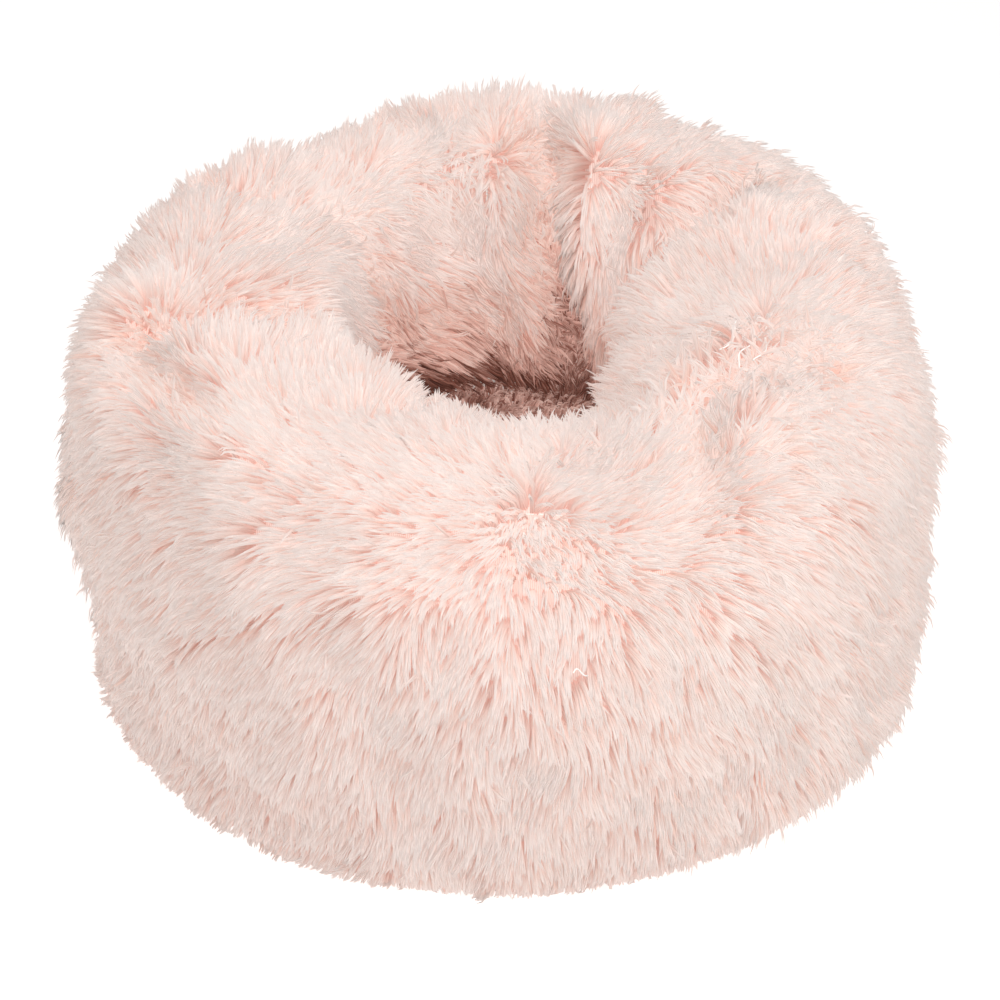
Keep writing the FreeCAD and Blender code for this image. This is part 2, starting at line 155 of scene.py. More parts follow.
# The widest place as a share of the bed's radius, and the low wall as a share of the widest place
SIDE_SHARE = [
    (0, 0.928),
    (45, 0.965),
    (90, 0.985),
    (135, 0.975),
    (165, 0.975),
    (190, 0.950),
    (225, 0.920),
    (270, 0.985),
    (300, 1.000),
    (318, 1.020),
    (340, 0.948),
]
LOW_SHARE = [(0, 0.985), (90, 0.975), (180, 0.950), (205, 0.965), (228, 0.975), (270, 0.970), (318, 1.000)]
# The foot of the well's wall, from the well's centre
FOOT_RADIUS = [(0, 0.104), (90, 0.114), (180, 0.112), (235, 0.104), (270, 0.108)]

# Valleys pressed into the coat: the route as (degrees, station), the depth and the half width in metres
CREASES = [
    # the deep fold down the inside of the back wall, right of its middle
    ([(82, 5.3), (80, 6.2), (78, 7.0), (70, 7.8), (63, 8.6)], 0.034, 0.012),
    # between the back and the right-hand lobes
    ([(36, 5.0), (33, 5.8), (30, 6.6), (30, 7.4), (34, 8.2)], 0.032, 0.013),
    # along the crown seam on the right and front right, by the bald spots
    ([(338, 4.7), (328, 5.2), (318, 5.3), (308, 5.2), (300, 4.5)], 0.012, 0.013),
    # across the rim on the left, where the back lobe lies over the front rim
    ([(194, 4.3), (191, 4.9), (188, 5.4), (190, 6.0), (197, 6.8)], 0.022, 0.013),
    # from there along the crown seam towards the front
    ([(194, 4.5), (204, 4.7), (213, 4.8), (220, 4.9)], 0.012, 0.012),
    # down the inside of the left back wall
    ([(142, 5.9), (141, 6.8), (136, 7.5), (128, 8.2)], 0.014, 0.011),
    # shallow puckers over the crest
    ([(60, 5.0), (58, 4.2)], 0.010, 0.014),
    ([(108, 5.6), (112, 4.6)], 0.012, 0.012),
    ([(152, 5.6), (150, 4.6)], 0.010, 0.014),
    ([(12, 5.0), (10, 4.2)], 0.008, 0.014),
    ([(240, 5.6), (243, 6.6)], 0.008, 0.012),
    ([(268, 5.6), (264, 6.6)], 0.008, 0.012),
]


def sections(angle):
    """Stations of the coat's cross-sections: an array (angles, stations, xyz)."""
    direction = np.stack([np.cos(angle), np.sin(angle), np.zeros_like(angle)], axis=1)
    up = np.array([0, 0, 1])
    height = around(angle, CREST_HEIGHT, 16.0)[:, None]
    crest = direction * around(angle, CREST_RADIUS)[:, None] + up * height
    middle = np.array([*WELL_CENTRE, 0])
    side = direction * BED_RADIUS * around(angle, SIDE_SHARE)[:, None]
    widest = side + up * (0.075 + 0.16 * height)
    shoulder = (widest - crest) * np.array([1, 1, 0]), (crest - widest) * up
    edge = middle + direction * around(angle, EDGE_RADIUS, 9.0)[:, None] + up * (height - 0.062)
    brow = (edge - crest) * np.array([1, 1, 0]), (crest - edge) * up
    foot = middle + direction * around(angle, FOOT_RADIUS)[:, None] + up * 0.148
    seam = middle + direction * WELL_RADIUS + up * (SEAT_TOP - 0.004)
    stations = [
        direction * (BASE_RADIUS + 0.004) + up * 0.003,
        side * around(angle, LOW_SHARE)[:, None] + up * 0.044,
        widest,
        crest + 0.94 * shoulder[0] - 0.62 * shoulder[1],
        crest + 0.66 * shoulder[0] - 0.22 * shoulder[1],
        crest,
        crest + 0.68 * brow[0] - 0.25 * brow[1],
        edge,
        foot,
        seam,
    ]
    return np.stack(stations, axis=1)


def spline_rows(stations, at):
    """Catmull-Rom through each section's stations, read at the station numbers in at."""
    padded = np.concatenate(
        [2 * stations[:, :1] - stations[:, 1:2], stations, 2 * stations[:, -1:] - stations[:, -2:-1]], axis=1
    )
    i = np.clip(np.floor(at).astype(int), 0, STATIONS - 2)
    t = (at - i)[None, :, None]
    a, b, c, d = (padded[:, i + k] for k in range(4))
    return 0.5 * (2 * b + (c - a) * t + (2 * a - 5 * b + 4 * c - d) * t**2 + (3 * b - 3 * c + d - a) * t**3)


def grid_frame(points):
    """Unit tangents round and across, and outward normals, of a grid that closes on itself round the bed."""
    round_way = unit(np.roll(points, -1, axis=0) - np.roll(points, 1, axis=0))
    across = unit(np.gradient(points, axis=1))
    normal = unit(np.cross(round_way, across))
    return round_way, unit(np.cross(normal, round_way)), normal


def near_route(points, route, surface_at):
    """Distance of each point to a route on the surface, and how far the nearest place is along it, 0 to 1."""
    knots = np.array([surface_at(math.radians(d), s) for d, s in route])
    steps = np.linspace(0, len(knots) - 1, 12 * len(knots))
    line = np.stack([np.interp(steps, range(len(knots)), knots[:, k]) for k in range(3)], axis=1)
    best = np.full(len(points), 1e9)
    along = np.zeros(len(points))
    for k, knot in enumerate(line):
        gap = np.linalg.norm(points - knot, axis=1)
        closer = gap < best
        best = np.where(closer, gap, best)
        along = np.where(closer, k / (len(line) - 1), along)
    return best, along


class Coat:
    """The ring's outside as a grid of points, with its frame, and the backing one pile depth inside it."""

    def __init__(self):
        self.angle = np.arange(ROUND_STEPS) * 2 * math.pi / ROUND_STEPS
        self.station = np.linspace(0, STATIONS - 1, ACROSS_STEPS)
        points = spline_rows(sections(self.angle), self.station)
        self.points = points
        _, _, normal = grid_frame(points)
        flat = points.reshape(-1, 3)
        push = 4.5 * MM * ripple(flat, 0.16, 11) + 2.0 * MM * ripple(flat, 0.07, 12)
        station = np.broadcast_to(self.station, points.shape[:2]).ravel()
        ends = np.clip(station / 1.2, 0, 1) * np.clip((STATIONS - 1 - station) / 1.2, 0, 1)
        push *= ends
        self.crease = np.zeros(len(flat))
        for route, depth, half_width in CREASES:
            gap, along = near_route(flat, route, self.at)
            fade = np.clip(np.minimum(along, 1 - along) / 0.18, 0.25, 1)
            valley = np.exp(-((gap / half_width) ** 2)) * fade
            swell = np.exp(-(((gap - 2.6 * half_width) / (1.6 * half_width)) ** 2)) * fade
            push += depth * (0.28 * swell - valley) * np.clip(ends * 3, 0, 1)
            self.crease = np.maximum(self.crease, valley * min(depth / 0.02, 1.3))
        self.points = points + normal * push.reshape(points.shape[:2])[..., None]
        self.round_way, self.across, self.normal = grid_frame(self.points)
        self.crease = self.crease.reshape(points.shape[:2])
        self.backing = self.points - self.normal * self.pile_depth()[..., None]

    def pile_depth(self):
        """The pile's depth: combed flatter near the base seam, where it must end above the floor."""
        fade = np.clip(self.station / 0.8, 0.35, 1)
        return PILE * fade[None, :] * (1 - 0.35 * np.clip(self.crease, 0, 1))

    def cell(self, angle, station):
        """The nearest row and column of the grid to an angle (radians) and station."""
        row = round(angle / (2 * math.pi) * ROUND_STEPS) % ROUND_STEPS
        column = round(station / (STATIONS - 1) * (ACROSS_STEPS - 1))
        return row, min(max(column, 0), ACROSS_STEPS - 1)

    def at(self, angle, station):
        """The place over the tips of the pile."""
        return self.points[self.cell(angle, station)]

    def under(self, angle, station):
        """The place on the backing."""
        return self.backing[self.cell(angle, station)]


# ---- lay of the fur

# Where the crown seam runs, as a station round the bed
CROWN_SEAM = [(0, 5.3), (45, 5.4), (90, 5.4), (135, 5.8), (180, 5.3), (220, 5.0), (284, 5.0), (335, 5.2)]

# The way the pile lies at places on the coat: (degrees, station, share round, share across). Across is up the
# outside, over the rim and down into the well.
LAY = [
    # outside, hanging down and fanning out to both sides of the front
    (270, 1.0, 0.0, -1.0),
    (270, 3.0, 0.0, -1.0),
    (275, 4.2, 0.0, -1.0),
    (240, 1.0, -0.1, -1.0),
    (240, 3.0, -0.3, -1.0),
    (238, 4.2, -0.7, -0.9),
    (210, 1.0, -0.1, -1.0),
    (208, 3.0, -0.3, -1.0),
    (180, 2.0, 0.1, -1.0),
    (150, 2.0, 0.0, -1.0),
    (120, 2.0, 0.1, -1.0),
    (90, 2.0, -0.1, -1.0),
    (60, 2.0, 0.0, -1.0),
    (30, 2.0, 0.1, -1.0),
    (0, 2.0, 0.1, -1.0),
    (330, 1.0, 0.1, -1.0),
    (328, 3.0, 0.3, -1.0),
    (300, 1.0, 0.1, -1.0),
    (300, 3.0, 0.25, -1.0),
    (305, 4.2, 0.6, -0.9),
    # left: up and out at the back, tips laid back along the front rim
    (190, 4.2, -0.3, -1.0),
    (171, 4.2, -0.7, -0.8),
    (158, 4.6, -0.9, -0.4),
    (149, 5.8, -1.0, -0.2),
    (132, 5.0, -0.7, -0.8),
    (176, 5.8, -0.4, 1.0),
    (164, 6.8, 0.2, 1.0),
    (204, 5.6, -0.9, 0.5),
    (221, 5.0, -1.0, -0.1),
    (225, 6.1, -0.6, 0.9),
    # front
    (234, 4.8, -0.9, -0.4),
    (246, 5.1, -1.0, -0.1),
    (259, 5.1, -1.0, 0.0),
    (250, 6.0, -0.5, 1.0),
    (271, 5.9, -0.4, 1.0),
    (290, 5.9, 0.2, 1.0),
    (291, 5.0, 1.0, -0.2),
    (304, 5.2, 1.0, 0.4),
    (300, 6.3, 0.2, 1.0),
    # right
    (318, 5.8, 0.3, 1.0),
    (330, 6.4, 0.3, 1.0),
    (350, 6.5, 0.5, 1.0),
    (2, 5.7, 1.0, 0.2),
    (14, 5.2, 1.0, -0.4),
    (20, 6.0, 1.0, 0.3),
    (350, 4.4, 0.4, -1.0),
    (333, 4.1, 0.0, -1.0),
    (10, 4.2, 0.5, -1.0),
    # back: along the crest to the right of the parting, ragged to the left of it
    (32, 5.0, -0.8, -0.7),
    (48, 5.5, -1.0, -0.2),
    (52, 4.6, -0.7, -0.9),
    (70, 5.2, -0.2, -1.0),
    (92, 5.2, 0.1, -1.0),
    (110, 5.3, -0.3, -1.0),
    (96, 6.4, 0.1, 1.0),
    (112, 6.3, -0.3, 0.8),
    # inner wall: swept to the right and a little down on the left and back
    (50, 7.2, -0.4, 1.0),
    (127, 7.2, -0.9, 0.6),
    (150, 7.6, -1.0, 0.5),
    (107, 7.6, -1.0, 0.4),
    (88, 8.3, -1.0, 0.3),
    (60, 8.4, 0.3, 1.0),
    (0, 7.6, 0.4, 1.0),
    (30, 8.0, 0.2, 1.0),
    (330, 7.6, 0.2, 1.0),
    (300, 7.6, 0.0, 1.0),
    (270, 7.6, 0.0, 1.0),
    (240, 7.6, 0.0, 1.0),
    (205, 7.4, -0.4, 1.0),
    (180, 7.6, -0.6, 0.9),
]
LAY_REACH = 0.034
# Small bare spots where the backing shows: (degrees, station, reach)
BARE = [(330, 5.32, 0.010), (327, 5.25, 0.008), (279, 3.2, 0.0045), (279, 3.32, 0.0045), (279, 3.44, 0.0045)]
# Places where the pile is sparser and its gaps show: (degrees, station, reach, how much)
SPARSE = [(330, 5.4, 0.034, 0.50), (316, 5.3, 0.030, 0.45), (72, 7.6, 0.040, 0.3)]
# Loose ends of thread at the bare spots: (degrees, station, span)
LOOSE_THREADS = [(331, 5.42, 0.026), (329, 5.30, 0.022), (332, 5.24, 0.016), (279, 3.32, 0.009)]
# Places where the pile is ragged: (degrees, station, reach, amount)
MESS = [
    (140, 6.8, 0.045, 0.45),
    (104, 6.2, 0.040, 0.45),
    (72, 7.8, 0.040, 0.6),
    (78, 6.4, 0.025, 0.5),
    (318, 5.2, 0.045, 0.9),
    (334, 5.2, 0.045, 0.9),
    (322, 6.0, 0.035, 0.5),
    (286, 5.6, 0.045, 0.55),
    (298, 5.2, 0.030, 0.3),
    (207, 4.8, 0.035, 0.25),
]
# Whorls, where the pile fans out from one spot: (degrees, station, reach, strength)
WHORLS = [
    (284, 5.6, 0.026, 0.8),
    (346, 5.4, 0.045, 1.2),
    (330, 5.30, 0.020, 1.2),
    (337, 4.6, 0.036, 0.9),
    (66, 6.1, 0.050, 2.0),
]


def patches(coat, points, table):
    """How much each point lies in the table's round patches."""
    total = np.zeros(len(points))
    for degrees, station, reach, amount in table:
        gap = np.linalg.norm(points - coat.at(math.radians(degrees), station), axis=1)
        total += amount * np.exp(-((gap / reach) ** 2))
    return total


def comb_field(coat):
    """The way the pile leans at every point of the coat's grid: tangents, shorter where it stands up."""
    comb = np.zeros_like(coat.points)
    weight = np.full(coat.points.shape[:2], 1e-9)
    for degrees, station, round_share, across_share in LAY:
        gap = np.linalg.norm(coat.points - coat.at(math.radians(degrees), station), axis=-1)
        w = np.exp(-0.5 * (gap / LAY_REACH) ** 2) + 1e-4 * np.exp(-gap / LAY_REACH)
        size = math.hypot(round_share, across_share)
        share = (round_share * coat.round_way + across_share * coat.across) / size
        comb += w[..., None] * share
        weight += w
    comb /= weight[..., None]
    for degrees, at_station, reach, strength in WHORLS:
        away = coat.points - coat.at(math.radians(degrees), at_station)
        gap = np.linalg.norm(away, axis=-1)
        felt = np.exp(-((gap / reach) ** 2))
        inside = np.clip(gap / 0.030, 0, 1)
        comb = comb * (1 - 0.8 * felt)[..., None] + unit(away) * (strength * felt * inside)[..., None]
    comb = comb - coat.normal * (comb * coat.normal).sum(axis=-1, keepdims=True)
    size = np.linalg.norm(comb, axis=-1, keepdims=True)
    return unit(comb) * np.minimum(size, 1)


# ---- meshes


def grid_mesh(name, points, closed_round=True, closed_across=False, flip=False):
    """A quad mesh from a grid of points."""
    rows, columns = points.shape[:2]
    index = np.arange(rows * columns).reshape(rows, columns)
    a = index if closed_round else index[:-1]
    b = np.roll(index, -1, axis=0) if closed_round else index[1:]
    if closed_across:
        quads = np.stack([a, b, np.roll(b, -1, axis=1), np.roll(a, -1, axis=1)], axis=-1)
    else:
        quads = np.stack([a[:, :-1], b[:, :-1], b[:, 1:], a[:, 1:]], axis=-1)
    quads = quads.reshape(-1, 4)
    if flip:
        quads = quads[:, ::-1]
    return faces_mesh(name, points.reshape(-1, 3), quads)


def faces_mesh(name, points, quads, triangles=None):
    """A smooth-shaded object from points, quads and triangles."""
    triangles = np.zeros((0, 3), int) if triangles is None else triangles
    mesh = bpy.data.meshes.new(name)
    mesh.vertices.add(len(points))
    mesh.vertices.foreach_set("co", np.ascontiguousarray(points, np.float32).ravel())
    corners = np.concatenate([np.asarray(quads).ravel(), np.asarray(triangles).ravel()]).astype(np.int32)
    mesh.loops.add(len(corners))
    mesh.loops.foreach_set("vertex_index", corners)
    sizes = np.concatenate([np.full(len(quads), 4), np.full(len(triangles), 3)])
    mesh.polygons.add(len(sizes))
    mesh.polygons.foreach_set("loop_start", (np.cumsum(sizes) - sizes).astype(np.int32))
    mesh.polygons.foreach_set("loop_total", sizes.astype(np.int32))
    mesh.update(calc_edges=True)
    mesh.shade_smooth()
    obj = bpy.data.objects.new(name, mesh)
    bpy.context.scene.collection.objects.link(obj)
    return obj


# One hair: its sides, and from root to tip its rings' places, girths and how much of the lift each part keeps
SPIKE_SIDES = 3
SPIKE_REACH = np.array([0.0, 0.40, 0.80, 1.0])
SPIKE_GIRTH = np.array([0.8, 1.0, 0.72])
SPIKE_BEND = np.array([1.1, 0.72, 0.34])
SPIKE_DROOP = 0.10
# The share of a hair's shading that follows the coat under it instead of its own sides
NORMAL_BLEND = 0.48
SHADE_COLUMNS = 64


def kept_off_floor(height):
    """Heights on hairs, with those from 2 mm above the floor to 8 mm below it pressed into 1 to 2 mm."""
    return np.where(height < 2 * MM, MM + 0.1 * np.maximum(height + 8 * MM, 0), height)


def spikes_mesh(name, roots, normals, combs, lengths, lifts, girths, gathers, shades):
    """One mesh of tapered three-sided hairs, each bending from its root over to its comb direction.

    gathers moves each hair's upper part, to draw the hairs of one lock together. The UV map "OFBake"
    holds the hair's shade across and its place from root to tip upwards.
    """
    count = len(roots)
    rings = len(SPIKE_GIRTH)
    sideways = unit(np.cross(normals, combs))
    steps = np.diff(SPIKE_REACH)
    centres = [roots]
    for step, bend in zip(steps, SPIKE_BEND):
        rise = lifts * bend
        way = np.cos(rise)[:, None] * combs + np.sin(rise)[:, None] * normals
        way = way + np.array([0, 0, -SPIKE_DROOP]) * (1 - bend)
        centres.append(centres[-1] + way * (lengths * step)[:, None])
    for k, share in enumerate(SPIKE_REACH):
        centres[k] = centres[k] + gathers * share
    for centre in centres:
        centre[:, 2] = kept_off_floor(centre[:, 2])
    turn = np.arange(SPIKE_SIDES) * 2 * math.pi / SPIKE_SIDES
    points = np.zeros((count, rings * SPIKE_SIDES + 1, 3), np.float32)
    facing = np.zeros_like(points)
    for k in range(rings):
        way = unit(centres[k + 1] - centres[max(k - 1, 0)])
        up = unit(np.cross(way, sideways))
        for j, a in enumerate(turn):
            offset = math.cos(a) * sideways + math.sin(a) * up
            points[:, k * SPIKE_SIDES + j] = centres[k] + offset * (girths * SPIKE_GIRTH[k])[:, None]
            facing[:, k * SPIKE_SIDES + j] = unit(offset * (1 - NORMAL_BLEND) + normals * NORMAL_BLEND)
    points[:, -1] = centres[-1]
    facing[:, -1] = normals
    quads, quad_uv, tips, tip_uv = [], [], [], []
    for j in range(SPIKE_SIDES):
        following = (j + 1) % SPIKE_SIDES
        left, right = j / SPIKE_SIDES, (j + 1) / SPIKE_SIDES
        for k in range(rings - 1):
            low, high = k * SPIKE_SIDES, (k + 1) * SPIKE_SIDES
            quads.append([low + j, low + following, high + following, high + j])
            a, b = SPIKE_REACH[k], SPIKE_REACH[k + 1]
            quad_uv.append([(left, a), (right, a), (right, b), (left, b)])
        last = (rings - 1) * SPIKE_SIDES
        tips.append([last + j, last + following, rings * SPIKE_SIDES])
        tip_uv.append([(left, SPIKE_REACH[-2]), (right, SPIKE_REACH[-2]), ((left + right) / 2, 1.0)])
    base = (np.arange(count) * points.shape[1])[:, None, None]
    all_quads = (base + np.array(quads)[None]).reshape(-1, 4)
    all_tips = (base + np.array(tips)[None]).reshape(-1, 3)
    obj = faces_mesh(name, points.reshape(-1, 3), all_quads, all_tips)
    custom = obj.data.attributes.new("custom_normal", "FLOAT_VECTOR", "POINT")
    custom.data.foreach_set("vector", facing.ravel())
    column = np.floor(np.clip(shades, 0, 0.9999) * SHADE_COLUMNS)[:, None, None]

    def uv_of(pattern):
        """Every hair's corners for one pattern: its shade's column across, root to tip upwards."""
        pattern = np.array(pattern, float).reshape(-1, 2)
        u = (column[:, :, 0] + 0.05 + 0.9 * pattern[None, :, 0]) / SHADE_COLUMNS
        v = np.broadcast_to(0.01 + 0.98 * pattern[None, :, 1], u.shape)
        return np.stack([u, v], axis=-1).reshape(-1, 2)

    layer = obj.data.uv_layers.new(name="OFBake")
    uv = np.concatenate([uv_of(quad_uv), uv_of(tip_uv)]).astype(np.float32)
    layer.data.foreach_set("uv", uv.ravel())
    return obj


# ---- fur

LOCK_AREA = 11 * MM * MM
HAIRS_IN_LOCK = 3
LOCK_RADIUS = 1.0 * MM
HAIR_GIRTH_MM = (0.68, 0.98)
# How far locks turn from the lay and lean, in radians: in fine and broad waves, at random, and if astray
YAW_FINE, YAW_BROAD, YAW_RANDOM, YAW_STRAY = 0.16, 0.20, 0.09, 0.5
LEAN_WAVE, LEAN_RANDOM, LEAN_STRAY = 0.12, 0.08, 0.25
STRAY_SHARE = 0.04
LIFT_LIMITS = (0.30, 1.5)
# Random part of the lengths, with the limits of the result, and the unevenness of the shades
LENGTH_RANDOM = 0.12
LENGTH_LIMITS = (0.65, 1.3)
SHADE_RANDOM, SHADE_WAVE = 0.10, 0.08
# The angle in radians between a hair's root and the backing, and what unsettled and folded places add
LIFT = 0.98
UNSETTLED_LIFT, CREASE_LIFT = 0.12, -0.10
# A hair's length over the pile's depth, what the base seam adds, and the share that ragged places add
LENGTH_SHARE = 1.36
BASE_SEAM_LENGTH = 0.40 * PILE
RAGGED_LENGTH = 0.22
# How far unsettled and folded places turn the locks out of line, in radians
UNSETTLED_MESS, CREASE_MESS = 0.40, 0.30
# How much thicker the fur grows where it is unsettled and at the base seam, and at most how much sparser
UNSETTLED_CROWD, BASE_SEAM_CROWD, MOST_SPARSE = 0.5, 0.9, 0.8
# Hairs' shades run from 0, deep in the well, to 1; the low end is painted shade. A usual one, and what full
# painted shade takes off it:
USUAL_SHADE = 0.76
PAINTED_SHADE_LOSS = 0.70
# The painted shade of the well starts at a station, is full some stations on, and deepens along a curve
PAINTED_WELL_SHADE_STATION, PAINTED_WELL_SHADE_SPAN, PAINTED_WELL_SHADE_CURVE = 6.7, 2.1, 1.35
# What a fold adds to the painted shade, inside the crest and outside
PAINTED_FOLD_SHADE_INSIDE, PAINTED_FOLD_SHADE_OUTSIDE = 0.30, 0.5
# Each panel's fur is cut into this many pieces, and the inner wall's foot, below a station, into its own
OUTER_SECTORS = 16
INNER_SECTORS = 9
FOOT_SECTORS = 2
FOOT_STATION = 8.1


def scatter(points, extra, area_per_lock, rng):
    """Random places on a grid, evenly spread by area. Returns fractional row and column of each."""
    columns = points.shape[1]
    following = np.roll(points, -1, axis=0)
    a = np.linalg.norm(following[:, :-1] - points[:, :-1], axis=-1)
    b = np.linalg.norm(points[:, 1:] - points[:, :-1], axis=-1)
    area = (a * b * extra).ravel()
    count = int(area.sum() / area_per_lock)
    cell = rng.choice(len(area), size=count, p=area / area.sum())
    row = cell // (columns - 1) + rng.random(count)
    column = cell % (columns - 1) + rng.random(count)
    return row, column


def sample(field, row, column):
    """Bilinear reading of a grid field that closes on itself round the bed."""
    rows, columns = field.shape[:2]
    i = np.floor(row).astype(int)
    j = np.clip(np.floor(column).astype(int), 0, columns - 2)
    s, t = row - i, column - j
    if field.ndim == 3:
        s, t = s[:, None], t[:, None]
    i, i2 = i % rows, (i + 1) % rows
    return (
        field[i, j] * (1 - s) * (1 - t)
        + field[i2, j] * s * (1 - t)
        + field[i, j + 1] * (1 - s) * t
        + field[i2, j + 1] * s * t
    )


def turned(combs, normals, angles):
    """Tangents turned about their normals."""
    side = np.cross(normals, combs)
    return np.cos(angles)[:, None] * combs + np.sin(angles)[:, None] * side


def grow(roots, normals, combs, lengths, lifts, mess, painted_shade, rng):
    """Turns locks into hairs: each lock is a few hairs that lie side by side."""
    count = len(roots)
    yaw = YAW_FINE * ripple(roots, 0.030, 31) + YAW_BROAD * ripple(roots, 0.075, 32)
    yaw = yaw + rng.normal(0, YAW_RANDOM, count)
    stray = rng.random(count) < STRAY_SHARE
    yaw = yaw + (mess + YAW_STRAY * stray) * rng.normal(0, 1, count)
    lean = LEAN_WAVE * ripple(roots, 0.028, 33) + rng.normal(0, LEAN_RANDOM, count)
    lifts = np.clip(lifts + lean + stray * LEAN_STRAY, *LIFT_LIMITS)
    lengths = lengths * (1 + LENGTH_RANDOM * rng.normal(size=count)).clip(*LENGTH_LIMITS)
    combs = unit(turned(combs, normals, yaw))
    mottle = SHADE_RANDOM * rng.normal(size=count) + SHADE_WAVE * ripple(roots, 0.03, 34)
    # painted shade: hairs deep in the well and in folds get a darker, redder tone and less of the random
    # mottle
    shade = USUAL_SHADE - PAINTED_SHADE_LOSS * painted_shade + mottle * (1 - 0.6 * painted_shade)
    hair = np.repeat(np.arange(count), HAIRS_IN_LOCK)
    total = len(hair)
    spin = np.tile(np.arange(HAIRS_IN_LOCK), count) * 2 * math.pi / HAIRS_IN_LOCK
    spin = spin + np.repeat(rng.uniform(0, 2 * math.pi, count), HAIRS_IN_LOCK)
    side = np.cross(normals, combs)[hair]
    spot = LOCK_RADIUS * rng.uniform(0.5, 1.1, total)[:, None]
    offset = spot * (np.cos(spin)[:, None] * side + np.sin(spin)[:, None] * combs[hair])
    gather = -0.5 * offset + rng.normal(0, 0.4 * MM, (total, 3))
    return {
        "roots": roots[hair] + offset,
        "normals": normals[hair],
        "combs": unit(turned(combs[hair], normals[hair], rng.normal(0, 0.035, total))),
        "lengths": lengths[hair] * rng.uniform(0.84, 1.06, total),
        "lifts": lifts[hair] + rng.normal(0, 0.03, total),
        "girths": rng.uniform(*HAIR_GIRTH_MM, total) * MM,
        "gathers": gather,
        "shades": np.clip(shade[hair] + rng.normal(0, 0.04, total), 0.01, 0.99),
    }


def hair_pieces(name, hairs, sector, sectors, material):
    """Splits hairs into pieces by sector, and makes one object of each."""
    for k in range(sectors):
        chosen = sector == k
        if not chosen.any():
            continue
        part = {key: value[chosen] for key, value in hairs.items()}
        obj = spikes_mesh(f"{name}_{k + 1:02d}", *part.values())
        finish_piece(obj, material)
        # pale pile lets light through to the hairs below; the fur casts no shadows, and its shade in the well
        # and folds is painted into its colour instead
        obj.visible_shadow = False


def finish_piece(obj, material):
    """Gives a piece its material and lets it ride on the bed."""
    obj.data.materials.append(material)
    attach(obj, "bed")
    return obj


# ---- materials


def new_material(name, roughness, colour=(0.8, 0.8, 0.8), sheen=0.0, metallic=0.0):
    """A plain material, with its node tree and its shader to build on."""
    material = bpy.data.materials.new(name)
    material.use_nodes = True
    shader = material.node_tree.nodes["Principled BSDF"]
    shader.inputs["Roughness"].default_value = roughness
    shader.inputs["Metallic"].default_value = metallic
    shader.inputs["Base Color"].default_value = (*colour, 1)
    if sheen:
        shader.inputs["Sheen Weight"].default_value = sheen
        shader.inputs["Sheen Roughness"].default_value = 0.5
    return material, material.node_tree, shader


def ramp(tree, stops):
    """A colour ramp node from (position, colour) stops."""
    node = tree.nodes.new("ShaderNodeValToRGB")
    elements = node.color_ramp.elements
    while len(elements) < len(stops):
        elements.new(0.5)
    for element, (position, colour) in zip(elements, stops):
        element.position = position
        element.color = (*colour, 1)
    return node


def paint(tree, shader, value, stops, target="Base Color"):
    """Drives a surface's colour, or its roughness, from a node's value by a colour ramp."""
    colour = ramp(tree, stops)
    tree.links.new(value, colour.inputs["Fac"])
    tree.links.new(colour.outputs["Color"], shader.inputs[target])


def emboss(tree, shader, value, strength, depth):
    """Relief on a surface from a node's value."""
    bump = tree.nodes.new("ShaderNodeBump")
    bump.inputs["Strength"].default_value = strength
    bump.inputs["Distance"].default_value = depth
    tree.links.new(value, bump.inputs["Height"])
    tree.links.new(bump.outputs["Normal"], shader.inputs["Normal"])


def fur_material():
    """Long pile: salmon at the root, paler to the tip, a little lighter or darker hair by hair, and with
    painted shade deep in the well and in folds.
    """
    material, tree, shader = new_material("fur", 0.6, sheen=0.1)
    uv = tree.nodes.new("ShaderNodeUVMap")
    uv.uv_map = "OFBake"
    parts = tree.nodes.new("ShaderNodeSeparateXYZ")
    tree.links.new(uv.outputs["UV"], parts.inputs["Vector"])
    along = ramp(
        tree,
        [
            (0.0, (0.88, 0.585, 0.510)),
            (0.35, (0.92, 0.740, 0.680)),
            (0.7, (0.955, 0.860, 0.822)),
            (1.0, (0.98, 0.912, 0.884)),
        ],
    )
    tree.links.new(parts.outputs["Y"], along.inputs["Fac"])
    # painted shade: the low end of this ramp darkens and reddens hairs deep in the well, in folds and on the
    # seat; its upper end is their random tone
    tone_and_painted_shade = ramp(
        tree,
        [
            (0.0, (0.12, 0.04, 0.025)),
            (0.12, (0.34, 0.155, 0.115)),
            (0.28, (0.84, 0.63, 0.57)),
            (0.44, (0.97, 0.86, 0.815)),
            (0.62, (0.965, 0.935, 0.925)),
            (1.0, (1.0, 1.0, 1.0)),
        ],
    )
    tree.links.new(parts.outputs["X"], tone_and_painted_shade.inputs["Fac"])
    mix = tree.nodes.new("ShaderNodeMix")
    mix.data_type = "RGBA"
    mix.blend_type = "MULTIPLY"
    mix.inputs["Factor"].default_value = 1.0
    tree.links.new(along.outputs["Color"], mix.inputs["A"])
    tree.links.new(tone_and_painted_shade.outputs["Color"], mix.inputs["B"])
    tree.links.new(mix.outputs["Result"], shader.inputs["Base Color"])
    glow = tree.nodes.new("ShaderNodeBsdfTranslucent")
    tree.links.new(mix.outputs["Result"], glow.inputs["Color"])
    share = tree.nodes.new("ShaderNodeMixShader")
    share.inputs["Fac"].default_value = 0.35
    tree.links.new(shader.outputs["BSDF"], share.inputs[1])
    tree.links.new(glow.outputs["BSDF"], share.inputs[2])
    tree.links.new(share.outputs["Shader"], tree.nodes["Material Output"].inputs["Surface"])
    return material


